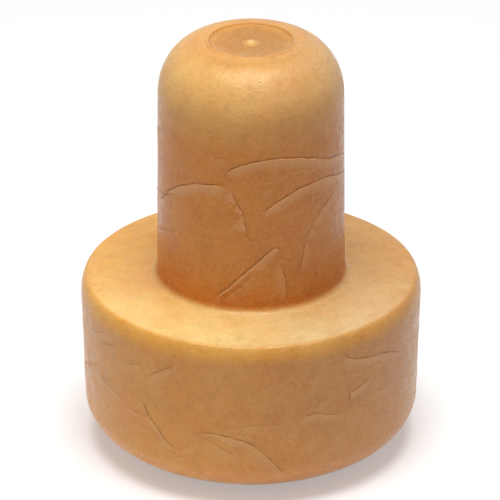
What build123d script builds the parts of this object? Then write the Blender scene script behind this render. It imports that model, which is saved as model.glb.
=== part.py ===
from build123d import *
import os

# T-top stopper, moulded in one piece: a wide disc head with a domed, drafted plug on it.
# Millimetres. The origin is the centre of the head's flat face, on which the stopper
# stands, and +Z runs along its axis towards the plug's tip.

# head
head_face_dia = 34.5         # at the flat face, measured to the sharp corner
head_shoulder_dia = 35.5     # at the shoulder, wider because the side is drafted
head_height = 18.7           # flat face to shoulder
face_edge_in = 8.4           # large rolled edge round the flat face, across
face_edge_up = 5.2           # and along the side

# edge of the shoulder: a narrow bent band that rises from the side to a crest
band_in = 0.65               # across, from the side to the crest
band_down = 2.2              # along the side
band_bend_down = 0.77        # where the band's two ends aim, along the side
crest_round = 0.25           # each side of the crest's sharp corner

# plug
plug_root_dia = 19.5         # at the shoulder, measured to the sharp corner
plug_tip_dia = 18.96         # at the tip plane, measured to the sharp corner
plug_length = 26.2           # shoulder to tip plane
root_fillet = 0.8            # hollow fillet where the plug meets the shoulder
dome_down = 5.65             # rounding of the plug's end, along the plug's side

# moulding recess in the tip, with the gate's nub in its middle
recess_dia = 8.5             # at the foot of the recess wall
recess_depth = 0.12          # at the wall, below the tip plane
dish_depth = 0.3             # at the nub's foot, because the floor is dished
lip_width = 0.4              # raised lip round the recess
lip_height = 0.1             # above the tip plane
tip_flat_width = 0.1         # flat ring between the lip and the dome, where the dome ends
nub_dia = 1.1
nub_height = 0.3             # above its foot

# A cubic curve whose handles reach this share of the way to the sharp corner
# is close to a quarter of an ellipse.
QUARTER_HANDLE = 0.5523


def along(start, end, distance):
    """The point that lies a distance from start, on the line to end."""
    span = ((end[0] - start[0]) ** 2 + (end[1] - start[1]) ** 2) ** 0.5
    share = distance / span
    return (start[0] + (end[0] - start[0]) * share, start[1] + (end[1] - start[1]) * share)


def rolled_corner(first, corner, last):
    """Four control points of a curve that rounds a corner, tangent to both its sides."""
    first_handle = tuple(a + (c - a) * QUARTER_HANDLE for a, c in zip(first, corner))
    last_handle = tuple(b + (c - b) * QUARTER_HANDLE for b, c in zip(last, corner))
    return [first, first_handle, last_handle, last]


def shoulder_edge(face, shoulder):
    """The bent band up the side to the crest, and the crest's own small roll."""
    band_foot = along(shoulder, face, band_down)
    bend = along(shoulder, face, band_bend_down)
    crest = (shoulder[0] - band_in, head_height)
    band_top = along(crest, bend, crest_round)
    crest_roll = rolled_corner(band_top, crest, (crest[0] - crest_round, head_height))
    return [band_foot, bend, band_top], crest_roll


def head_corners():
    """Rolled corners of the head's flat face, its shoulder and the plug's root."""
    face = (head_face_dia / 2, 0)
    shoulder = (head_shoulder_dia / 2, head_height)
    root = (plug_root_dia / 2, head_height)
    tip = (plug_tip_dia / 2, head_height + plug_length)
    face_roll = rolled_corner((face[0] - face_edge_in, 0), face, along(face, shoulder, face_edge_up))
    band, crest_roll = shoulder_edge(face, shoulder)
    root_roll = rolled_corner((root[0] + root_fillet, head_height), root, along(root, tip, root_fillet))
    return face_roll, band, crest_roll, root_roll


def tip_corners():
    """The dome, the lip round the recess, and the nub, from the outside inwards."""
    tip_z = head_height + plug_length
    crest_z = tip_z + lip_height
    root = (plug_root_dia / 2, head_height)
    tip = (plug_tip_dia / 2, tip_z)
    recess_r = recess_dia / 2
    crest_r = recess_r + lip_width / 2
    lip_r = recess_r + lip_width
    dome_roll = rolled_corner(along(tip, root, dome_down), tip, (lip_r + tip_flat_width, tip_z))
    lip_outside = rolled_corner((lip_r, tip_z), (lip_r, crest_z), (crest_r, crest_z))
    wall_foot = (recess_r, tip_z - recess_depth)
    lip_inside = rolled_corner((crest_r, crest_z), (recess_r, crest_z), wall_foot)
    nub_r = nub_dia / 2
    nub_foot = tip_z - dish_depth
    nub_top = nub_foot + nub_height
    nub_roll = rolled_corner((nub_r, nub_foot), (nub_r, nub_top), (0, nub_top))
    return dome_roll, lip_outside, lip_inside, nub_roll


def stopper_section():
    """Half of the stopper's section, on the XZ plane: x is the radius and y the height."""
    corners = [*head_corners(), *tip_corners()]
    with BuildSketch(Plane.XZ) as section:
        with BuildLine():
            here = (0, 0)
            for corner in corners:
                if corner[0] != here:
                    Line(here, corner[0])
                Bezier(*corner)
                here = corner[-1]
            Line(here, (0, 0))
        make_face()
    return section.sketch


def make_stopper():
    """The whole stopper, turned from its section about the Z axis."""
    with BuildPart() as stopper:
        add(stopper_section())
        revolve(axis=Axis.Z)
    return stopper.part


os.makedirs("parts", exist_ok=True)
stopper = make_stopper()
export_step(stopper, "parts/stopper_body.step")
print("stopper_body volume", round(stopper.volume, 1), "size", stopper.bounding_box().size)
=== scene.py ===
# %% [markdown]
# # A moulded T-top stopper
#
# The object is a bottle stopper moulded in one shot from foamed elastomer. It stands on
# its wide disc head, with the plug pointing up. This lesson turns its skin from one
# section, presses the fold lines of the skin into it, and gives it a satin foam finish.
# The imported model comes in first, as a fixed frame that says where everything goes.

# %% Load the frame
import math
import bmesh
import bpy
import numpy as np
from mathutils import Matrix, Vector


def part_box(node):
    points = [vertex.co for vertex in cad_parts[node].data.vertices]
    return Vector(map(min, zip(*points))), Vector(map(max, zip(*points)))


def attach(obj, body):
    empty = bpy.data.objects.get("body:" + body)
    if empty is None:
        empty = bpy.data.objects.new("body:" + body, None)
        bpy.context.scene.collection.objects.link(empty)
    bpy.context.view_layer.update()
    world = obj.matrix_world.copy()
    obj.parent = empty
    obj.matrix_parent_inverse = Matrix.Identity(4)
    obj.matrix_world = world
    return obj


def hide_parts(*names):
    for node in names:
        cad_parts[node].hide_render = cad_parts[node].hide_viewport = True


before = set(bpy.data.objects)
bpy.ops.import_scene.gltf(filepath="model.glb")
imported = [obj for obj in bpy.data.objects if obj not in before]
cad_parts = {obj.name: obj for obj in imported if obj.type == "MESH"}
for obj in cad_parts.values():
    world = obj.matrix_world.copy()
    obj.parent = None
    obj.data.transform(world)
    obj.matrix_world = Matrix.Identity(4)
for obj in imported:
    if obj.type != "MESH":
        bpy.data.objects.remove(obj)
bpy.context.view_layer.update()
MM = 0.001
low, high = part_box("stopper_body")
print("stopper", [round((b - a) / MM, 2) for a, b in zip(low, high)], "mm")

# %% [markdown]
# ## The section
#
# A part like this is designed as half a section, which is then turned about its axis. Its
# corners are rolled, because foam doesn't fill a sharp edge of a mould. Each rolled corner
# is one cubic curve that starts on one side of the corner and ends on the other, with both
# handles aimed at the sharp corner, so that it runs smoothly into the straight stretches.
# The head's foot is one very large roll. Its shoulder ends in a crisp crest, and a narrow
# bent band, drawn as a curve with one handle, leads from the side up to that crest.

# %% Sizes of the section, in millimetres
HEAD_FACE_R, HEAD_SHOULDER_R, HEAD_HEIGHT = 17.25, 17.75, 18.7
PLUG_ROOT_R, PLUG_TIP_R, PLUG_LENGTH = 9.75, 9.48, 26.2
FACE_EDGE_IN, FACE_EDGE_UP, ROOT_FILLET = 8.4, 5.2, 0.8
BAND_IN, BAND_DOWN, BAND_BEND_DOWN, CREST_ROUND = 0.65, 2.2, 0.77, 0.25
DOME_END_R, DOME_DOWN = 4.75, 5.65
RECESS_R, RECESS_DEPTH, DISH_DEPTH, LIP_WIDTH, LIP_HEIGHT = 4.25, 0.12, 0.3, 0.4, 0.1
NUB_R, NUB_HEIGHT = 0.55, 0.3
TIP_Z = HEAD_HEIGHT + PLUG_LENGTH
HANDLE = 0.5523              # share of the way to the corner that gives a quarter ellipse


def toward(start, end, distance):
    """The point that lies a distance from start, on the line to end."""
    start, end = np.array(start, float), np.array(end, float)
    return start + (end - start) * distance / np.linalg.norm(end - start)


def straight(start, end, spacing):
    """Points of a straight stretch, without its start."""
    start, end = np.array(start, float), np.array(end, float)
    count = max(1, round(np.linalg.norm(end - start) / spacing))
    return [start + (end - start) * i / count for i in range(1, count + 1)]


def rolled(first, corner, last, count):
    """Points of a rolled corner, without its first."""
    first, corner, last = (np.array(p, float) for p in (first, corner, last))
    a, b = first + (corner - first) * HANDLE, last + (corner - last) * HANDLE
    steps = [i / count for i in range(1, count + 1)]
    return [
        (1 - t) ** 3 * first + 3 * (1 - t) ** 2 * t * a + 3 * (1 - t) * t**2 * b + t**3 * last
        for t in steps
    ]


def bent(first, aim, last, count):
    """Points of a bend whose two ends both aim at one point, without its first."""
    first, aim, last = (np.array(p, float) for p in (first, aim, last))
    steps = [i / count for i in range(1, count + 1)]
    return [(1 - t) ** 2 * first + 2 * (1 - t) * t * aim + t**2 * last for t in steps]


# %% [markdown]
# The rows of the surface follow the section, close together where it bends and wider where
# it is straight. The same function also gives a very fine version of the section, which is
# used later to put new vertices exactly on the surface.

# %% Rows along the section
def section_rows(fineness):
    """Radius and height of each row, from the middle of the face to the middle of the nub."""
    face, shoulder = (HEAD_FACE_R, 0), (HEAD_SHOULDER_R, HEAD_HEIGHT)
    root, tip = (PLUG_ROOT_R, HEAD_HEIGHT), (PLUG_TIP_R, TIP_Z)
    bend, crest = toward(shoulder, face, BAND_BEND_DOWN), (HEAD_SHOULDER_R - BAND_IN, HEAD_HEIGHT)
    dish_z, lip_z = TIP_Z - DISH_DEPTH, TIP_Z + LIP_HEIGHT
    lip_mid_r, lip_r = RECESS_R + LIP_WIDTH / 2, RECESS_R + LIP_WIDTH
    wide, near = 0.5 / fineness, 0.34 / fineness
    rows = [np.zeros(2)]
    rows += straight(rows[-1], (HEAD_FACE_R - FACE_EDGE_IN, 0), 2 * wide)
    rows += rolled(rows[-1], face, toward(face, shoulder, FACE_EDGE_UP), 22 * fineness)
    rows += straight(rows[-1], toward(shoulder, face, BAND_DOWN), wide)
    rows += bent(rows[-1], bend, toward(crest, bend, CREST_ROUND), 8 * fineness)
    rows += rolled(rows[-1], crest, (crest[0] - CREST_ROUND, HEAD_HEIGHT), 5 * fineness)
    rows += straight(rows[-1], (PLUG_ROOT_R + ROOT_FILLET, HEAD_HEIGHT), wide)
    rows += rolled(rows[-1], root, toward(root, tip, ROOT_FILLET), 8 * fineness)
    rows += straight(rows[-1], toward(tip, root, DOME_DOWN), near)
    rows += rolled(rows[-1], tip, (DOME_END_R, TIP_Z), 26 * fineness)
    rows += straight(rows[-1], (lip_r, TIP_Z), near)
    rows += rolled(rows[-1], (lip_r, lip_z), (lip_mid_r, lip_z), 4 * fineness)
    rows += rolled(rows[-1], (RECESS_R, lip_z), (RECESS_R, TIP_Z - RECESS_DEPTH), 5 * fineness)
    rows += straight(rows[-1], (NUB_R, dish_z), near)
    rows += rolled(rows[-1], (NUB_R, dish_z + NUB_HEIGHT), (0, dish_z + NUB_HEIGHT), 7 * fineness)
    return np.array(rows) * MM


rows = section_rows(1)
fine_rows = section_rows(20)
fine_along = np.concatenate([[0], np.cumsum(np.linalg.norm(np.diff(fine_rows, axis=0), axis=1))])
print(len(rows), "rows; the section is", round(fine_along[-1] / MM, 1), "mm long")

# %% [markdown]
# ## Turning it with Geometry Nodes
#
# The section is drawn as a curve. A node tree makes a flat grid with one row for each point
# of that curve and a column for each step round the axis, and then moves each grid point to
# its radius, angle and height. A lathe works this way, and so does the Screw modifier, but
# here the tree also writes down how far along the section each vertex lies, which the later
# steps need. Merging the points that coincide closes the seam and both poles.


# %% Small helpers for node trees
class Tree:
    """A Geometry Nodes or shader tree, built one node at a time."""

    def __init__(self, tree):
        self.tree, self.links = tree, tree.links

    def node(self, kind, inputs=(), **settings):
        """Adds a node, sets its properties, then fills or links its inputs by name or place."""
        made = self.tree.nodes.new(kind)
        for key, value in settings.items():
            setattr(made, key, value)
        for key, value in dict(inputs).items():
            socket = made.inputs[key]
            if isinstance(value, bpy.types.NodeSocket):
                self.links.new(value, socket)
            else:
                socket.default_value = value
        return made

    def math(self, operation, *values, clamp=False):
        """A Math node's result."""
        return self.node("ShaderNodeMath", enumerate(values), operation=operation, use_clamp=clamp).outputs[0]


def geometry_tree(name, inputs):
    """A Geometry Nodes tree with a geometry input and output and the named inputs."""
    group = bpy.data.node_groups.new(name, "GeometryNodeTree")
    face = group.interface
    face.new_socket("Geometry", in_out="INPUT", socket_type="NodeSocketGeometry")
    for label, kind in inputs.items():
        face.new_socket(label, in_out="INPUT", socket_type="NodeSocket" + kind)
    face.new_socket("Geometry", in_out="OUTPUT", socket_type="NodeSocketGeometry")
    tree = Tree(group)
    tree.given = tree.node("NodeGroupInput").outputs
    return tree


def finish_tree(tree, geometry, material):
    """Ends a tree in Realize Instances and Set Material."""
    real = tree.node("GeometryNodeRealizeInstances", {"Geometry": geometry})
    painted = tree.node("GeometryNodeSetMaterial", {"Geometry": real.outputs[0], "Material": material})
    tree.node("NodeGroupOutput", {0: painted.outputs[0]})


def run_tree(source, tree, values):
    """A plain mesh of what a tree makes from an object, with its named inputs set."""
    modifier = source.modifiers.new("tree", "NODES")
    modifier.node_group = tree.tree
    for item in tree.tree.interface.items_tree:
        if item.item_type == "SOCKET" and item.in_out == "INPUT" and item.name in values:
            modifier[item.identifier] = values[item.name]
    graph = bpy.context.evaluated_depsgraph_get()
    mesh = bpy.data.meshes.new_from_object(
        source.evaluated_get(graph), preserve_all_data_layers=True, depsgraph=graph
    )
    source.modifiers.remove(modifier)
    return mesh


def new_object(name, data):
    """An object in the scene that holds the data."""
    made = bpy.data.objects.new(name, data)
    bpy.context.collection.objects.link(made)
    return made


def flat_curve(name, lines, spline_type):
    """A curve object with one spline for each list of (x, y, z, radius) points."""
    data = bpy.data.curves.new(name, "CURVE")
    data.dimensions = "3D"
    for line in lines:
        spline = data.splines.new(spline_type)
        spline.points.add(len(line) - 1)
        for point, (x, y, z, radius) in zip(spline.points, line):
            point.co = (x, y, z, 1)
            point.radius = radius
        if spline_type == "NURBS":
            spline.order_u = 3
            spline.use_endpoint_u = True
    return new_object(name, data)


# %% The skin's material, filled in further down
foam_skin = bpy.data.materials.new("foam_skin")
foam_skin.use_nodes = True

# %% The tree that turns a section
turning = geometry_tree("turned_from_section", {"Columns": "Int"})
section_points = turning.node(
    "GeometryNodeAttributeDomainSize", {0: turning.given["Geometry"]}, component="CURVE"
)
row_count = section_points.outputs["Point Count"]
column_count = turning.math("ADD", turning.given["Columns"], 1)
grid = turning.node("GeometryNodeMeshGrid", {"Vertices X": row_count, "Vertices Y": column_count})
index = turning.node("GeometryNodeInputIndex").outputs[0]
row = turning.math("FLOOR", turning.math("DIVIDE", index, column_count))
column = turning.math("MODULO", index, column_count)
angle = turning.math("MULTIPLY", turning.math("DIVIDE", column, turning.given["Columns"]), math.tau)
position = turning.node("GeometryNodeInputPosition").outputs[0]
on_section = turning.node(
    "GeometryNodeSampleIndex",
    {"Geometry": turning.given["Geometry"], "Value": position, "Index": row},
    data_type="FLOAT_VECTOR",
    domain="POINT",
)
section_xyz = turning.node("ShaderNodeSeparateXYZ", {0: on_section.outputs[0]})
run_length = turning.node("GeometryNodeSplineParameter").outputs["Length"]
along_section = turning.node(
    "GeometryNodeSampleIndex",
    {"Geometry": turning.given["Geometry"], "Value": run_length, "Index": row},
    data_type="FLOAT",
    domain="POINT",
)
turned_xyz = turning.node(
    "ShaderNodeCombineXYZ",
    {
        0: turning.math("MULTIPLY", section_xyz.outputs[0], turning.math("SINE", angle)),
        1: turning.math("MULTIPLY", section_xyz.outputs[0], turning.math("COSINE", angle)),
        2: section_xyz.outputs[2],
    },
)
turned = turning.node(
    "GeometryNodeSetPosition", {"Geometry": grid.outputs["Mesh"], "Position": turned_xyz.outputs[0]}
)
marked = turning.node(
    "GeometryNodeStoreNamedAttribute",
    {"Geometry": turned.outputs[0], "Name": "along", "Value": along_section.outputs[0]},
    data_type="FLOAT",
    domain="POINT",
)
closed = turning.node("GeometryNodeMergeByDistance", {"Geometry": marked.outputs[0], "Distance": 1e-6})
finish_tree(turning, closed.outputs[0], foam_skin)

COLUMNS = 184
section_curve = flat_curve("section", [[(r, 0, z, 1) for r, z in rows]], "POLY")
skin_mesh = run_tree(section_curve, turning, {"Columns": COLUMNS})
bpy.data.objects.remove(section_curve)
print("turned skin:", len(skin_mesh.vertices), "vertices,", len(skin_mesh.polygons), "faces")

# %% [markdown]
# ## Folds in the skin
#
# The foam's skin cools against the mould in sheets that lap over each other. Where two
# sheets meet there is a fine fold: a narrow groove with one raised edge. Such lines could
# be painted, but they catch the light like real steps, so they are pressed into the mesh.
# They are drawn on a flat chart, as if the skin were unrolled: across is the angle from
# the front in degrees, and up is the height in millimetres above the flat face for the
# head, and above the shoulder for the plug. The raised edge lies to the right of the
# direction in which a fold is drawn, and the last number says how strong it is. A pit is
# drawn as a very short, strong fold.

# %% The folds, drawn one by one
plug_folds = [
    ([(-16, 15.2), (-14, 15.9), (-10, 16.3), (-5, 16.6), (2, 17.0), (10, 17.2), (18, 17.2), (26, 17.1),
      (34, 16.8), (40, 16.5), (45, 16.1), (52, 15.6), (60, 15.4), (68, 15.0), (76, 14.5), (84, 14.2)], 1.0),
    ([(6, 11.3), (10, 11.6), (15, 12.3), (20, 12.7), (25, 13.1), (30, 13.4), (38, 13.6), (45, 13.7),
      (52, 13.6), (60, 13.3), (66, 12.9), (75, 12.6), (84, 12.2)], 1.0),
    ([(-76, 9.5), (-70, 9.9), (-64, 10.8), (-60, 11.6), (-55, 12.1), (-50, 12.8), (-45, 13.1), (-38, 13.6),
      (-32, 13.9), (-25, 14.1), (-18, 14.2), (-13.8, 13.8)], 1.2),
    ([(-13.8, 13.8), (-11.9, 13.6), (-10.2, 13.0), (-8, 12.2), (-6.2, 11.6), (-5, 11.1), (-3.4, 10.1),
      (-2.6, 9.4), (-2.2, 8.6)], 0.8),
    ([(-24, 1.1), (-20, 1.8), (-15, 2.6), (-10, 3.5), (-5, 4.4), (0, 5.2), (5, 6.0), (10, 6.7), (13, 7.2),
      (15.5, 7.3), (18, 6.9)], 1.0),
    ([(-17, 1.4), (-14, 1.9), (-10, 2.5), (-6, 3.0), (-2.5, 3.7), (1, 4.2)], 0.45),
    ([(17, 5.5), (19, 4.9), (20.5, 4.2), (21.5, 3.2), (21.6, 2.0), (21.5, 1.1)], 0.7),
    ([(31, 3.9), (31.5, 4.4), (32.5, 5.5), (35, 7.1), (37.5, 8.1), (42, 9.3), (47.5, 10.1), (55, 10.9),
      (64, 11.7)], 0.6),
    ([(-26, 17.6), (-22, 17.1), (-19, 17.3), (-15.6, 17.2)], 0.4),
    ([(-76, 18.2), (-71, 18.5), (-65, 19.0)], 0.4),
]
head_folds = [
    ([(-72, 15.0), (-65, 15.4), (-61, 15.9), (-56, 16.4), (-51, 16.7)], 0.5),
    ([(-65, 13.7), (-62, 14.4), (-57, 15.1), (-53, 15.5), (-50, 15.7)], 0.5),
    ([(-49.4, 14.2), (-44.6, 14.7), (-40, 15.2)], 0.45),
    ([(-49.4, 13.6), (-45.4, 14.2), (-41.2, 14.8), (-39.6, 14.8), (-38.1, 14.3)], 0.5),
    ([(-38, 13.4), (-35, 14.0), (-33, 14.6), (-31, 14.9), (-28.4, 15.4), (-25.4, 16.1)], 0.8),
    ([(-66, 10.5), (-64, 10.7), (-60, 10.4), (-55, 10.2), (-51.6, 9.9), (-48, 9.9)], 0.5),
    ([(-47, 9.4), (-44, 8.9), (-40.4, 8.9), (-36.6, 9.1)], 0.4),
    ([(-40.4, 10.6), (-39, 10.3), (-37, 9.2), (-34, 8.3), (-31.2, 7.2), (-29.6, 6.7), (-27.5, 6.2),
      (-26, 5.9)], 0.85),
    ([(-26, 5.9), (-23.8, 6.2), (-21.6, 6.8), (-20.8, 7.2)], 0.5),
    ([(-44, 7.9), (-41.6, 7.7), (-38.8, 7.5), (-36.2, 7.6), (-34, 7.1)], 0.4),
    ([(-21, 8.3), (-18.4, 8.4), (-15, 8.6), (-11.6, 8.6), (-9, 8.4), (-4, 8.2), (0, 7.5), (2, 7.2),
      (4.4, 6.4), (6.5, 5.7), (8.4, 5.0), (11, 4.2), (13, 3.6)], 0.8),
    ([(-17.5, 8.2), (-15, 7.8), (-11.6, 7.4), (-9.6, 6.9), (-7, 6.6), (-5, 6.3), (-2, 5.9)], 0.4),
    ([(-10, 9.2), (-5, 9.6), (0, 9.8), (6, 9.8), (10.6, 9.8)], 0.35),
    ([(15.4, 10.3), (18.4, 10.5), (21, 10.6), (23.4, 10.5), (25, 10.2), (27.5, 10.1), (32, 9.9)], 0.75),
    ([(32.8, 16.7), (33.4, 16.2), (36, 15.9), (39, 15.6), (44.6, 15.2), (50, 15.0), (56.6, 14.2),
      (61, 13.6)], 0.85),
    ([(35.4, 10.9), (34.8, 11.5), (35, 11.9), (36.6, 12.1), (39, 12.2), (41.6, 12.6), (43.8, 12.9)], 0.75),
    ([(46, 11.1), (47.5, 10.9), (51, 10.8), (54, 11.0), (58.4, 10.9)], 0.45),
    ([(33.1, 9.6), (33.0, 8.6), (33.1, 7.7)], 0.45),
    ([(47, 7.6), (47.1, 6.7), (48.8, 6.4)], 0.4),
    ([(39, 10.2), (41.6, 9.8), (43.8, 9.4)], 0.4),
    ([(32, 6.4), (31.6, 5.7), (30, 5.1)], 0.4),
]
pits_on_plug = [(-8, 12.2), (-5, 11.1), (-2.2, 8.9), (39.4, 8.7), (35.2, 7.1)]
pits_on_head = [(-26.5, 5.5), (-25, 5.2), (32.8, 16.7), (46.9, 13.1), (-20.4, 18.0)]


def pits(places, half_turn, strength):
    """Very short folds, each leaning a little, that run half_turn degrees either side."""
    lean = 0.1
    return [([(a - half_turn, h - lean), (a, h), (a + half_turn, h + lean)], strength) for a, h in places]


plug_folds += pits(pits_on_plug, half_turn=1.4, strength=1.3)
head_folds += pits(pits_on_head, half_turn=0.8, strength=1.2)
print(len(plug_folds), "folds on the plug and", len(head_folds), "on the head, at the front")

# %% [markdown]
# The back has the same kind of folds. Nothing says exactly how they run, so a function
# walks each one across the chart from a starting place, with a small random turn at every
# step. The random numbers start from a fixed seed, so that they are the same every time.


# %% Folds round the back
FOLD_STEP = 2.0              # millimetres
MOST_TURN = 0.22             # radians, at each step
CHART_EDGE = 178             # degrees either side of the front
WEAKEST, STRONGEST = 0.45, 0.95


def walked_fold(random, start, heading, steps, radius):
    """A wandering fold on the chart, as (angle, height) points."""
    angle, height = start
    points = [start]
    for _ in range(steps):
        heading += random.uniform(-MOST_TURN, MOST_TURN)
        angle += math.degrees(FOLD_STEP * math.cos(heading) / radius)
        height += FOLD_STEP * math.sin(heading)
        points.append((angle, height))
    return points


def within(points, lowest, highest):
    """The points of a fold up to where it leaves the straight wall or meets the chart's edge."""
    kept = []
    for angle, height in points:
        if not (lowest < height < highest and abs(angle) < CHART_EDGE):
            break
        kept.append((angle, height))
    return kept


def back_folds(seed, starts, lowest, highest, radius):
    """Folds from their (angle, height, heading, steps) starts, kept between two heights."""
    random = np.random.default_rng(seed)
    folds = []
    for angle, height, heading, steps in starts:
        walked = walked_fold(random, (angle, height), heading, steps, radius)
        points = within(walked, lowest, highest)
        if len(points) > 2:
            folds.append((points, random.uniform(WEAKEST, STRONGEST)))
    return folds


plug_starts = [(92, 12.5, -0.3, 8), (112, 5.0, 0.3, 7), (140, 15.5, 0.1, 7), (-172, 11.0, 0.2, 7),
               (-160, 3.5, 0.3, 7), (-132, 16.0, -0.1, 6), (-112, 8.5, 0.2, 5), (-95, 4.5, 0.3, 4)]
head_starts = [(70, 13.5, -0.1, 5), (80, 7.0, 0.2, 6), (100, 14.5, -0.1, 6), (112, 9.5, 0.1, 7),
               (140, 7.0, 0.1, 6), (146, 13.8, -0.1, 6), (-176, 10.0, 0.1, 6), (-160, 6.5, 0.1, 6),
               (-150, 14.2, -0.1, 6),
               (-130, 10.5, 0.0, 6), (-118, 6.8, 0.1, 6), (-108, 14.6, -0.1, 5), (-90, 8.5, 0.1, 5)]
plug_folds += back_folds(3, plug_starts, 1.2, 19.5, 9.6)
head_folds += back_folds(8, head_starts, 5.5, 16.3, 17.5)
print(len(plug_folds), "folds on the plug and", len(head_folds), "on the head, all round")


# %% [markdown]
# The chart's two directions have to be real lengths, so that a fold is as wide across as
# it is up. Up is the distance along the section. Across is the angle times the radius at
# that height. Each fold fades to nothing at both ends.


# %% From the drawing to the chart
def section_at_height(height, on_plug):
    """Distance along the section, and radius, at a height on one of the two walls, in metres."""
    top = fine_along.searchsorted(fine_along[-1])
    split = int(np.argmax(fine_rows[:, 1] >= (HEAD_HEIGHT - 1e-6) * MM))
    part = slice(split, top) if on_plug else slice(0, split)
    heights, lengths, radii = fine_rows[part, 1], fine_along[part], fine_rows[part, 0]
    if on_plug:
        end = int(np.argmax(heights))
        heights, lengths, radii = heights[:end], lengths[:end], radii[:end]
    place = int(np.argmax(heights >= height * MM))
    return lengths[place], radii[place]


def chart_line(points, strength, on_plug):
    """A fold's (across, up, 0, strength) points on the chart, in metres."""
    line = []
    for number, (angle, height) in enumerate(points):
        along, radius = section_at_height(height + (HEAD_HEIGHT if on_plug else 0), on_plug)
        fade = 0.0 if number in (0, len(points) - 1) else strength
        line.append((math.radians(angle) * radius, along, 0, fade))
    if len(line) == 2:
        middle = [(a + b) / 2 for a, b in zip(*line)]
        line.insert(1, (*middle[:3], strength))
    return line


chart_lines = [chart_line(points, strength, True) for points, strength in plug_folds]
chart_lines += [chart_line(points, strength, False) for points, strength in head_folds]
fold_chart = flat_curve("fold_chart", chart_lines, "NURBS")
print(len(chart_lines), "folds on the chart")

# %% [markdown]
# ## Pressing the folds in
#
# The second tree unrolls each vertex of the skin onto the chart, finds the nearest place
# on a fold, and works out the distance to it, with a plus on the raised side and a minus
# on the other. From that distance it lifts or lowers the vertex along its normal: a groove
# on the line, and beside it an edge that slopes away. It writes the distance down too, so
# that the material can paint shade into the groove. It also gives the whole skin the slight
# waves of a foam part that has shrunk in its mould.

# %% The tree that presses folds into a skin
pressing = geometry_tree(
    "pressed_folds",
    {"Folds": "Object", "Groove": "Float", "Raised edge": "Float", "Wander": "Float", "Waves": "Float"},
)
drawn = pressing.node(
    "GeometryNodeObjectInfo", {"Object": pressing.given["Folds"]}, transform_space="ORIGINAL"
)
even = pressing.node(
    "GeometryNodeResampleCurve", {"Curve": drawn.outputs["Geometry"], "Length": 0.1 * MM}, mode="LENGTH"
)
here = pressing.node("GeometryNodeInputPosition").outputs[0]
shiver = pressing.node(
    "ShaderNodeTexNoise", {"Vector": here, "Scale": 900.0, "Detail": 3.0}, noise_dimensions="3D"
)
about_zero = pressing.node(
    "ShaderNodeVectorMath", {0: shiver.outputs["Color"], 1: (0.5, 0.5, 0.5)}, operation="SUBTRACT"
)
in_chart = pressing.node("ShaderNodeVectorMath", {0: about_zero.outputs[0], 1: (1, 1, 0)}, operation="MULTIPLY")
nudge = pressing.node(
    "ShaderNodeVectorMath", {0: in_chart.outputs[0], "Scale": pressing.given["Wander"]}, operation="SCALE"
)
wandering = pressing.node(
    "GeometryNodeSetPosition", {"Geometry": even.outputs[0], "Offset": nudge.outputs[0]}
).outputs[0]


def stored(geometry, name, value, data_type="FLOAT"):
    """The geometry with a value written on each of its points, under a name."""
    inputs = {"Geometry": geometry, "Name": name, "Value": value}
    return pressing.node("GeometryNodeStoreNamedAttribute", inputs, data_type=data_type, domain="POINT").outputs[0]


tangent = pressing.node("GeometryNodeInputTangent").outputs[0]
point_radius = pressing.node("GeometryNodeInputRadius").outputs[0]
with_direction = stored(wandering, "direction", tangent, "FLOAT_VECTOR")
with_strength = stored(with_direction, "strength", point_radius)
folds = pressing.node("GeometryNodeCurveToMesh", {"Curve": with_strength}).outputs[0]

# %% Where each vertex lies on the chart, and the fold nearest to it
xyz = pressing.node("ShaderNodeSeparateXYZ", {0: here}).outputs
x_squared, y_squared = pressing.math("POWER", xyz[0], 2.0), pressing.math("POWER", xyz[1], 2.0)
radius = pressing.math("SQRT", pressing.math("ADD", x_squared, y_squared))
turn = pressing.math("ARCTAN2", xyz[0], pressing.math("MULTIPLY", xyz[1], -1.0))
along = pressing.node("GeometryNodeInputNamedAttribute", {"Name": "along"}, data_type="FLOAT").outputs[0]
unrolled = pressing.node("ShaderNodeCombineXYZ", {0: pressing.math("MULTIPLY", turn, radius), 1: along}).outputs[0]

nearest = pressing.node(
    "GeometryNodeProximity", {"Geometry": folds, "Sample Position": unrolled}, target_element="EDGES"
)
nearest_point = pressing.node(
    "GeometryNodeSampleNearest", {"Geometry": folds, "Sample Position": unrolled}, domain="POINT"
).outputs[0]


def at_nearest_point(name, data_type):
    """What a named attribute of the folds is, at the point of a fold nearest to the vertex."""
    value = pressing.node("GeometryNodeInputNamedAttribute", {"Name": name}, data_type=data_type).outputs[0]
    inputs = {"Geometry": folds, "Value": value, "Index": nearest_point}
    return pressing.node("GeometryNodeSampleIndex", inputs, data_type=data_type, domain="POINT").outputs[0]


fold_direction = at_nearest_point("direction", "FLOAT_VECTOR")
strength = at_nearest_point("strength", "FLOAT")
away = pressing.node(
    "ShaderNodeVectorMath", {0: unrolled, 1: nearest.outputs["Position"]}, operation="SUBTRACT"
).outputs[0]
right_of_fold = pressing.node(
    "ShaderNodeVectorMath", {0: fold_direction, 1: (0, 0, 1)}, operation="CROSS_PRODUCT"
).outputs[0]
which_side = pressing.math("SIGN", pressing.node(
    "ShaderNodeVectorMath", {0: away, 1: right_of_fold}, operation="DOT_PRODUCT"
).outputs["Value"])
signed = pressing.math("MULTIPLY", nearest.outputs["Distance"], which_side)

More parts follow.
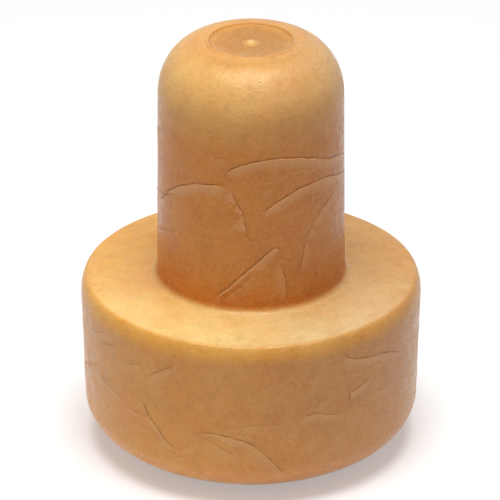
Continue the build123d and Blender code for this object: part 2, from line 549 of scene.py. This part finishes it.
# %% The groove, the raised edge and the waves
GROOVE_WIDTH, GROOVE_ASIDE = 0.10 * MM, 0.05 * MM
EDGE_RISE, EDGE_SLOPE = 0.12 * MM, 0.55 * MM
WAVES_PER_METRE = 120.0
FLAT_BELOW = 0.02 * MM       # the face that the stopper stands on stays flat
from_middle = pressing.math("ABSOLUTE", pressing.math("ADD", signed, GROOVE_ASIDE))
widths_squared = pressing.math("POWER", pressing.math("DIVIDE", from_middle, GROOVE_WIDTH), 2.0)
groove_shape = pressing.math("EXPONENT", pressing.math("MULTIPLY", widths_squared, -1.0))
edge_rise = pressing.math("DIVIDE", signed, EDGE_RISE, clamp=True)
edge_fall = pressing.math("EXPONENT", pressing.math("DIVIDE", pressing.math("MULTIPLY", signed, -1.0), EDGE_SLOPE))
edge_shape = pressing.math("MULTIPLY", edge_rise, pressing.math("MINIMUM", edge_fall, 1.0))
press = pressing.math(
    "MULTIPLY", strength,
    pressing.math(
        "SUBTRACT",
        pressing.math("MULTIPLY", edge_shape, pressing.given["Raised edge"]),
        pressing.math("MULTIPLY", groove_shape, pressing.given["Groove"]),
    ),
)
waves = pressing.node("ShaderNodeTexNoise", {"Vector": here, "Scale": WAVES_PER_METRE, "Detail": 1.5}).outputs[0]
swell = pressing.math("MULTIPLY", pressing.math("SUBTRACT", waves, 0.5), pressing.given["Waves"])
off_the_floor = pressing.math("GREATER_THAN", xyz[2], FLAT_BELOW)
lift = pressing.math("MULTIPLY", pressing.math("ADD", press, swell), off_the_floor)
normal = pressing.node("GeometryNodeInputNormal").outputs[0]
offset = pressing.node("ShaderNodeVectorMath", {0: normal, "Scale": lift}, operation="SCALE").outputs[0]

marked_fold = stored(pressing.given["Geometry"], "fold", pressing.math("DIVIDE", signed, MM))
marked_strength = stored(marked_fold, "fold_strength", strength)
pressed = pressing.node("GeometryNodeSetPosition", {"Geometry": marked_strength, "Offset": offset})
smooth = pressing.node("GeometryNodeSetShadeSmooth", {"Geometry": pressed.outputs[0]})
finish_tree(pressing, smooth.outputs[0], foam_skin)

# %% [markdown]
# A fold is a tenth of a millimetre wide, and the skin's faces are far larger. Making every
# face small would take millions of them. So the tree first runs with nothing to press, only
# to measure, and the faces near a fold are then cut in four, twice. New vertices are put
# back on the turned surface, because the middle of an edge lies a little inside it.


# %% Finer faces near the folds
def folds_measured(mesh):
    """The mesh with each vertex's distance to a fold written on it, and nothing pressed."""
    source = new_object("skin_to_measure", mesh)
    values = {"Folds": fold_chart, "Groove": 0.0, "Raised edge": 0.0, "Wander": WANDER, "Waves": 0.0}
    measured = run_tree(source, pressing, values)
    bpy.data.objects.remove(source)
    return measured


def refined(mesh, reach):
    """The mesh with each face that is within reach millimetres of a fold cut in four."""
    work = bmesh.new()
    work.from_mesh(mesh)
    distance = work.verts.layers.float["fold"]
    near = [v for v in work.verts if abs(v[distance]) < reach and v.co.z > 0.5 * MM]
    edges = {edge for vert in near for face in vert.link_faces for edge in face.edges}
    bmesh.ops.subdivide_edges(work, edges=list(edges), cuts=1, use_grid_fill=True)
    length = work.verts.layers.float["along"]
    for vert in work.verts:
        spot = math.hypot(vert.co.x, vert.co.y)
        if spot > 0.1 * MM:
            radius = np.interp(vert[length], fine_along, fine_rows[:, 0])
            vert.co.z = np.interp(vert[length], fine_along, fine_rows[:, 1])
            vert.co.x *= radius / spot
            vert.co.y *= radius / spot
    work.to_mesh(mesh)
    work.free()
    return mesh


WANDER = 0.40 * MM
REACH = (0.50, 0.22)         # millimetres from a fold, first and second cut
for reach in REACH:
    skin_mesh = refined(folds_measured(skin_mesh), reach)
    print("within", reach, "mm of a fold:", len(skin_mesh.polygons), "faces")

# %% Press them in
GROOVE_DEPTH, EDGE_HEIGHT, WAVE_HEIGHT = 0.05 * MM, 0.07 * MM, 0.10 * MM
skin_source = new_object("skin_to_press", skin_mesh)
final_values = {
    "Folds": fold_chart,
    "Groove": GROOVE_DEPTH,
    "Raised edge": EDGE_HEIGHT,
    "Wander": WANDER,
    "Waves": WAVE_HEIGHT,
}
pressed_mesh = run_tree(skin_source, pressing, final_values)
bpy.data.objects.remove(skin_source)
bpy.data.objects.remove(fold_chart)

closing = bmesh.new()
closing.from_mesh(pressed_mesh)
bmesh.ops.recalc_face_normals(closing, faces=closing.faces)
open_edges = sum(len(edge.link_faces) != 2 for edge in closing.edges)
triangles = sum(len(face.verts) - 2 for face in closing.faces)
closing.to_mesh(pressed_mesh)
closing.free()
moulded_stopper = new_object("moulded_stopper", pressed_mesh)
print("pressed skin:", triangles, "triangles,", open_edges, "open edges")

# %% [markdown]
# ## The foam skin's finish
#
# The foam is tan, and its colour drifts in soft clouds. Fine pores and specks sit in it.
# Each fold's groove shows as a brown line of painted shade, and the sheet that laps over it
# is paler. The surface is satin: it has a broad soft highlight, with small crinkles that
# break it up. All of it is worked out from where a point lies on the object, with noise
# textures, so it needs no picture and has no seam. Three helpers come first, because every
# layer uses them.

# %% Helpers for the finish
skin = Tree(foam_skin.node_tree)
skin.tree.nodes.clear()
place = skin.node("ShaderNodeTexCoord").outputs["Object"]


def noise(scale, detail, roughness=0.5, distortion=0.0):
    """A noise texture's value, with its scale in waves per metre."""
    inputs = {"Vector": place, "Scale": scale, "Detail": detail, "Roughness": roughness, "Distortion": distortion}
    return skin.node("ShaderNodeTexNoise", inputs).outputs[0]


def spread(value, low, high, to_low=0.0, to_high=1.0):
    """Maps a value's range onto another, smoothly and without going past it."""
    inputs = {"Value": value, "From Min": low, "From Max": high, "To Min": to_low, "To Max": to_high}
    return skin.node("ShaderNodeMapRange", inputs, interpolation_type="SMOOTHSTEP").outputs[0]


def mixed(factor, first, second, blend="MIX"):
    """One colour blended over another."""
    made = skin.node("ShaderNodeMix", data_type="RGBA", blend_type=blend)
    for socket, value in ((made.inputs[0], factor), (made.inputs[6], first), (made.inputs[7], second)):
        if isinstance(value, bpy.types.NodeSocket):
            skin.links.new(value, socket)
        else:
            socket.default_value = value
    return made.outputs[2]


# %% [markdown]
# ### Colour by zone
#
# The flat shoulder is the palest zone and the foot of the plug the deepest: its own deeper
# ochre, with painted shade in the corner where the plug meets the shoulder. A colour ramp
# reads the distance along the section that each vertex carries, so every zone has its own
# colour and runs softly into the next. Besides the foam's own tone, the zones carry painted
# light and shade: painted bounce light low on the head, painted light on the band under the
# crest, painted highlights on the dome and the nub, and painted shade on the rim outside the
# lip and round the nub's foot. Painting the zones by hand would also work, but this way they
# stay in place when a size of the section changes. The front of the shoulder is paler still
# with painted light, and the left side carries painted light and the right side
# painted shade.


# %% Colour of each zone
def zone_colour(stops):
    """A colour that follows the section, from (distance along it in metres, colour) stops."""
    length = skin.node("ShaderNodeAttribute", attribute_name="along").outputs["Fac"]
    share = skin.math("DIVIDE", length, float(fine_along[-1]))
    ramp = skin.node("ShaderNodeValToRGB", {"Fac": share})
    marks = ramp.color_ramp.elements
    while len(marks) < len(stops):
        marks.new(0.5)
    for mark, (distance, rgb) in zip(marks, stops):
        mark.position = distance / fine_along[-1]
        mark.color = (*rgb, 1)
    return ramp.outputs["Color"]


# Besides the foam's own tone, these colours carry some painted light and shade, as the stops below say.
HEAD_TAN, LIT_BAND_TAN, TOP_TAN = (0.80, 0.355, 0.105), (0.92, 0.43, 0.085), (0.84, 0.44, 0.100)
ROOT_OCHRE_AND_SHADE, WALL_OCHRE, DOME_HIGHLIGHT_TAN = (0.72, 0.225, 0.028), (0.72, 0.265, 0.050), (0.90, 0.52, 0.190)
TIP_OCHRE, NUB_FOOT_SHADE, NUB_HIGHLIGHT_TAN = (0.61, 0.262, 0.030), (0.54, 0.22, 0.025), (0.98, 0.62, 0.24)
FOOT_BOUNCE_TAN, LOWER_HEAD_BOUNCE_TAN = (0.90, 0.42, 0.125), (0.88, 0.40, 0.118)
DOME_RIM_SHADE_TAN, LIP_TAN = (0.78, 0.39, 0.10), (0.84, 0.42, 0.11)


def length_at(height, on_plug):
    """How far along the section a height in millimetres lies, in metres."""
    return section_at_height(height, on_plug)[0]


JUST_BELOW = 1e-4
shoulder_start = length_at(HEAD_HEIGHT - JUST_BELOW, False)
shoulder_end = length_at(HEAD_HEIGHT + 0.1, True)
dome_start, lip_start = length_at(TIP_Z - DOME_DOWN, True), length_at(TIP_Z - JUST_BELOW, True)
nub_middle = float(fine_along[-1])
by_zone = zone_colour([
    # painted bounce light from the white floor, on the foot and the lower head
    (0.0, FOOT_BOUNCE_TAN),
    (length_at(5.0, False), LOWER_HEAD_BOUNCE_TAN),
    (length_at(11.0, False), HEAD_TAN),
    (length_at(HEAD_HEIGHT - 2.0, False), HEAD_TAN),
    # painted light on the band under the crest, which faces the lamp
    (length_at(HEAD_HEIGHT - 1.2, False), LIT_BAND_TAN),
    (shoulder_start + 0.3 * MM, TOP_TAN),
    (shoulder_end, TOP_TAN),
    # the plug's foot: its own deeper ochre, with painted shade in the corner at the shoulder
    (length_at(HEAD_HEIGHT + 0.7, True), ROOT_OCHRE_AND_SHADE),
    (length_at(HEAD_HEIGHT + 3.2, True), WALL_OCHRE),
    (dome_start - 3.0 * MM, WALL_OCHRE),
    # a painted highlight on the dome, paler than the wall below it
    (dome_start + 2.6 * MM, DOME_HIGHLIGHT_TAN),
    (lip_start - 2.6 * MM, DOME_HIGHLIGHT_TAN),
    # painted shade on the rim just outside the lip
    (lip_start - 1.0 * MM, DOME_RIM_SHADE_TAN),
    (lip_start + 0.1 * MM, LIP_TAN),
    (lip_start + 1.6 * MM, TIP_OCHRE),
    # painted shade round the nub's foot, then a painted highlight on the nub
    (nub_middle - 0.95 * MM, NUB_FOOT_SHADE),
    (nub_middle - 0.7 * MM, NUB_HIGHLIGHT_TAN),
])

# %% Painted light: the paler front of the shoulder
OFF, ON = (0, 0, 0), (1, 1, 1)
# painted light: the shoulder's front, nearest the lamp and not shaded by the plug, is paler
LIT_FRONT_TAN = (0.99, 0.72, 0.33, 1)
side_to_side, front_to_back, _ = skin.node("ShaderNodeSeparateXYZ", {0: place}).outputs
to_front = spread(front_to_back, 4 * MM, -17 * MM)
on_shoulder = zone_colour([
    (shoulder_start - 0.3 * MM, OFF), (shoulder_start + 0.1 * MM, ON),
    (shoulder_end, ON), (shoulder_end + 0.5 * MM, OFF),
])
colour = mixed(skin.math("MULTIPLY", on_shoulder, to_front), by_zone, LIT_FRONT_TAN)

# %% Clouds, patches and mottle, from coarse to fine
CLOUD_TINT, PATCH_TINT, MOTTLE_TINT = (0.96, 0.78, 0.60, 1), (0.82, 0.76, 0.70, 1), (0.84, 0.76, 0.66, 1)
# painted light on the left side and painted shade on the right side of the whole part
LEFT_LIGHT_TINT, RIGHT_SHADE_TINT = (1.12, 1.14, 0.92, 1), (0.84, 0.85, 0.94, 1)
clouds = spread(noise(170, 4, 0.6), 0.36, 0.66)
patches = spread(noise(420, 5, 0.65, distortion=0.6), 0.42, 0.70)
mottle = spread(noise(1100, 4, 0.7, distortion=1.2), 0.36, 0.68)
to_right = spread(side_to_side, -15 * MM, 15 * MM)
colour = mixed(skin.math("MULTIPLY", clouds, 0.55), colour, CLOUD_TINT, "MULTIPLY")
colour = mixed(skin.math("MULTIPLY", patches, 0.55), colour, PATCH_TINT, "MULTIPLY")
colour = mixed(skin.math("MULTIPLY", mottle, 0.40), colour, MOTTLE_TINT, "MULTIPLY")
# painted light and shade: the left side lighter, the right side darker
colour = mixed(1.0, colour, mixed(to_right, LEFT_LIGHT_TINT, RIGHT_SHADE_TINT), "MULTIPLY")

# %% Pores, specks and the painted shade along each fold's groove
SPECK_AND_GROOVE_SHADE_BROWN, PALE_EDGE = (0.22, 0.07, 0.018, 1), (0.92, 0.56, 0.30, 1)
fine = noise(2600, 3, 0.6)
colour = mixed(spread(fine, 0.35, 0.75, 0.0, 0.20), colour, PALE_EDGE)
specks = spread(noise(1900, 2, 0.5), 0.70, 0.80, 0.0, 0.40)
colour = mixed(specks, colour, SPECK_AND_GROOVE_SHADE_BROWN)
fold_distance = skin.node("ShaderNodeAttribute", attribute_name="fold").outputs["Fac"]
fold_power = skin.node("ShaderNodeAttribute", attribute_name="fold_strength").outputs["Fac"]
lapped = skin.math("MULTIPLY", spread(fold_distance, 0.02, 0.12), spread(fold_distance, 0.15, 1.5, 0.34, 0.0))
colour = mixed(skin.math("MULTIPLY", lapped, fold_power, clamp=True), colour, PALE_EDGE)
# painted shade: a broken brown line along each fold's groove, where the groove lies in shade
from_groove = skin.math("ABSOLUTE", skin.math("ADD", fold_distance, 0.04))
broken = spread(noise(800, 3, 0.6), 0.34, 0.58, 0.25, 1.0)
groove_shade = skin.math("MULTIPLY", spread(from_groove, 0.0, 0.11, 0.85, 0.0), fold_power, clamp=True)
colour = mixed(skin.math("MULTIPLY", groove_shade, broken), colour, SPECK_AND_GROOVE_SHADE_BROWN)

# %% Relief and gloss
crinkle = noise(1400, 4, 0.65, distortion=0.8)
grain = noise(5200, 2, 0.5)
relief = skin.math("ADD", skin.math("MULTIPLY", crinkle, 0.9), skin.math("MULTIPLY", grain, 0.20))
bump = skin.node("ShaderNodeBump", {"Height": relief, "Strength": 0.85, "Distance": 0.10 * MM})
gloss = spread(noise(900, 4, 0.6), 0.3, 0.7, 0.24, 0.42)
shader = skin.node(
    "ShaderNodeBsdfPrincipled",
    {
        "Base Color": colour,
        "Roughness": gloss,
        "Normal": bump.outputs[0],
        "IOR": 1.46,
        "Specular Tint": (1.0, 0.86, 0.64, 1),
        "Subsurface Weight": 0.12,
        "Subsurface Radius": (1.0, 0.45, 0.2),
        "Subsurface Scale": 0.6 * MM,
    },
)
skin.node("ShaderNodeOutputMaterial", {"Surface": shader.outputs[0]})
if not moulded_stopper.data.materials:
    moulded_stopper.data.materials.append(foam_skin)
print("foam skin has", len(skin.tree.nodes), "nodes")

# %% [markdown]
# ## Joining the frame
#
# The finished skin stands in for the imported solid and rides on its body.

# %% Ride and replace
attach(moulded_stopper, "root")
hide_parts("stopper_body")

# %% [markdown]
# ## Floor, light and camera
#
# The stopper stands on a plain white table under a wide soft lamp that hangs a little in
# front of it, so that its upper faces are bright, its walls are in soft shade and its
# rolled edges catch a highlight. The white room round it shows only as a faint sheen.


# %% Floor
def plain_floor(size, below):
    """A square table top, a little below the stopper's face so that the two don't meet."""
    mesh = bpy.data.meshes.new("floor")
    h = size / 2
    mesh.from_pydata([(-h, -h, 0), (h, -h, 0), (h, h, 0), (-h, h, 0)], [], [(0, 1, 2, 3)])
    floor = new_object("floor", mesh)
    floor.location.z = -below
    return floor


def seen_rays(tree):
    """One for rays that are looked along: from the camera, or off or through a surface."""
    ray = tree.node("ShaderNodeLightPath").outputs
    seen = tree.math("MAXIMUM", ray["Is Camera Ray"], ray["Is Glossy Ray"])
    return tree.math("MAXIMUM", seen, ray["Is Transmission Ray"])


FLOOR_WHITE, FLOOR_GLOW = 0.86, 0.36
floor = plain_floor(3.0, 0.02 * MM)
floor_paint = bpy.data.materials.new("white_table")
floor_paint.use_nodes = True
paint = Tree(floor_paint.node_tree)
paint.tree.nodes.clear()
matt = paint.node("ShaderNodeBsdfDiffuse", {"Color": (FLOOR_WHITE, FLOOR_WHITE, FLOOR_WHITE, 1)})
glow = paint.node("ShaderNodeEmission", {"Color": (1, 1, 1, 1), "Strength": FLOOR_GLOW})
both = paint.node("ShaderNodeAddShader", {0: matt.outputs[0], 1: glow.outputs[0]})
seen = paint.node("ShaderNodeMixShader", {0: seen_rays(paint), 1: matt.outputs[0], 2: both.outputs[0]})
paint.node("ShaderNodeOutputMaterial", {"Surface": seen.outputs[0]})
floor.data.materials.append(floor_paint)

# %% Room light
ROOM_LIGHT, ROOM_SEEN = 0.12, 1.0
world = bpy.data.worlds.new("white_room")
bpy.context.scene.world = world
world.use_nodes = True
room = Tree(world.node_tree)
room.tree.nodes.clear()
dim = room.node("ShaderNodeBackground", {"Color": (1, 1, 1, 1), "Strength": ROOM_LIGHT})
white = room.node("ShaderNodeBackground", {"Color": (1, 1, 1, 1), "Strength": ROOM_SEEN})
mix = room.node("ShaderNodeMixShader", {0: seen_rays(room), 1: dim.outputs[0], 2: white.outputs[0]})
room.node("ShaderNodeOutputWorld", {"Surface": mix.outputs[0]})


# %% Lamps
def soft_lamp(name, place, target, size, watts):
    """A round area lamp that points at a target."""
    data = bpy.data.lights.new(name, "AREA")
    data.shape, data.size, data.energy = "DISK", size, watts
    lamp = new_object(name, data)
    lamp.location = place
    aim = np.array(target) - np.array(place)
    lamp.rotation_euler = Vector(aim).to_track_quat("-Z", "Y").to_euler()
    return lamp


soft_lamp("overhead", place=(0.0, -0.05, 0.36), target=(0, 0, 0.02), size=0.24, watts=1.15)

# %% Camera
AIM_HEIGHT, DISTANCE, ELEVATION = 21.1 * MM, 500.0 * MM, math.radians(26.49)
camera_data = bpy.data.cameras.new("camera")
camera_data.sensor_width = 36.0
camera_data.lens = 346.6     # a long lens, because the camera stands far back
camera_data.shift_x = -0.0020
camera_data.clip_start, camera_data.clip_end = 0.01, 10.0
camera = new_object("camera", camera_data)
camera.location = (0, -DISTANCE * math.cos(ELEVATION), AIM_HEIGHT + DISTANCE * math.sin(ELEVATION))
camera.rotation_euler = (math.pi / 2 - ELEVATION, 0, 0)
scene = bpy.context.scene
scene.camera = camera
scene.view_settings.view_transform = "Standard"
